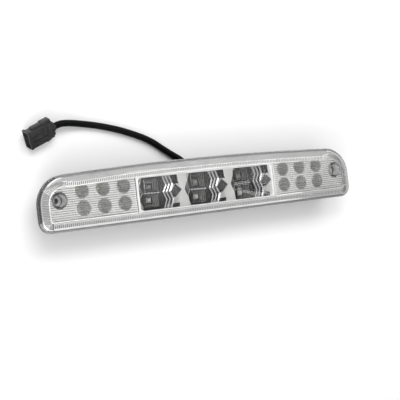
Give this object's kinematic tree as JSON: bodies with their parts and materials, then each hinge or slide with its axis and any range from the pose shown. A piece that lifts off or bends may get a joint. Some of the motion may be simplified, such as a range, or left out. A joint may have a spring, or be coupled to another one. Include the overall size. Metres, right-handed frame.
{
  "type": "third brake light",
  "caption": "Long clear-lens vehicle lamp with a brake lamp in the middle, cargo lamps at both ends, a black housing with gasket, and a short cable with a connector.",
  "frame": {"origin": "under the middle of the lamp, in the plane of the housing's flat back, on which the lamp lies", "axes": "+X along the lamp towards the end away from the connector, +Y towards the arched edge of the lens, +Z out of the lens face"},
  "size_m": [0.44, 0.1295, 0.046],
  "materials": {
    "clear_lens": "clear moulded plastic with fine flutes at both ends and ribs round its border",
    "housing_black": "fine-grained black moulding",
    "foam": "closed-cell foam",
    "dark_chrome": "metallised facets, slightly dark",
    "white_reflector": "bright satin metallised white",
    "board": "white solder mask",
    "brake_led": "water-clear LED on a light base",
    "cargo_led": "white LED with pale yellow phosphor",
    "steel": "zinc plated",
    "black_rubber": "soft black rubber",
    "cable_jacket": "smooth black sleeve",
    "connector_grey": "dark grey glass-filled moulding",
    "brass": "tinned contact"
  },
  "bodies": {
    "root": {"lens_cover": "clear_lens", "housing_shell": "housing_black", "rear_gasket": "foam", "brake_reflector": "dark_chrome", "brake_led_board": "board", "brake_led_1": "brake_led", "brake_led_2": "brake_led", "brake_led_3": "brake_led", "brake_led_4": "brake_led", "brake_led_5": "brake_led", "brake_led_6": "brake_led", "brake_board_screw_left": "steel", "brake_board_screw_right": "steel", "brake_resistor_1": "black_rubber", "brake_resistor_2": "black_rubber", "brake_resistor_3": "black_rubber", "cargo_reflector_left": "white_reflector", "cargo_led_board_left": "board", "cargo_led_left_1": "cargo_led", "cargo_led_left_2": "cargo_led", "cargo_led_left_3": "cargo_led", "cargo_led_left_4": "cargo_led", "cargo_led_left_5": "cargo_led", "cargo_led_left_6": "cargo_led", "cargo_board_screw_left": "steel", "cargo_resistor_left": "black_rubber", "lead_wire_cargo_left": "black_rubber", "cargo_reflector_right": "white_reflector", "cargo_led_board_right": "board", "cargo_led_right_1": "cargo_led", "cargo_led_right_2": "cargo_led", "cargo_led_right_3": "cargo_led", "cargo_led_right_4": "cargo_led", "cargo_led_right_5": "cargo_led", "cargo_led_right_6": "cargo_led", "cargo_board_screw_right": "steel", "cargo_resistor_right": "black_rubber", "lead_wire_cargo_right": "black_rubber", "lead_wire_brake": "black_rubber", "vent_cap": "black_rubber", "cable_grommet": "black_rubber", "cable": "cable_jacket", "connector_housing": "connector_grey", "connector_boot": "black_rubber", "connector_terminal_1": "brass", "connector_terminal_2": "brass", "connector_terminal_3": "brass", "terminal_lock": "connector_grey"}
  },
  "joints": []
}
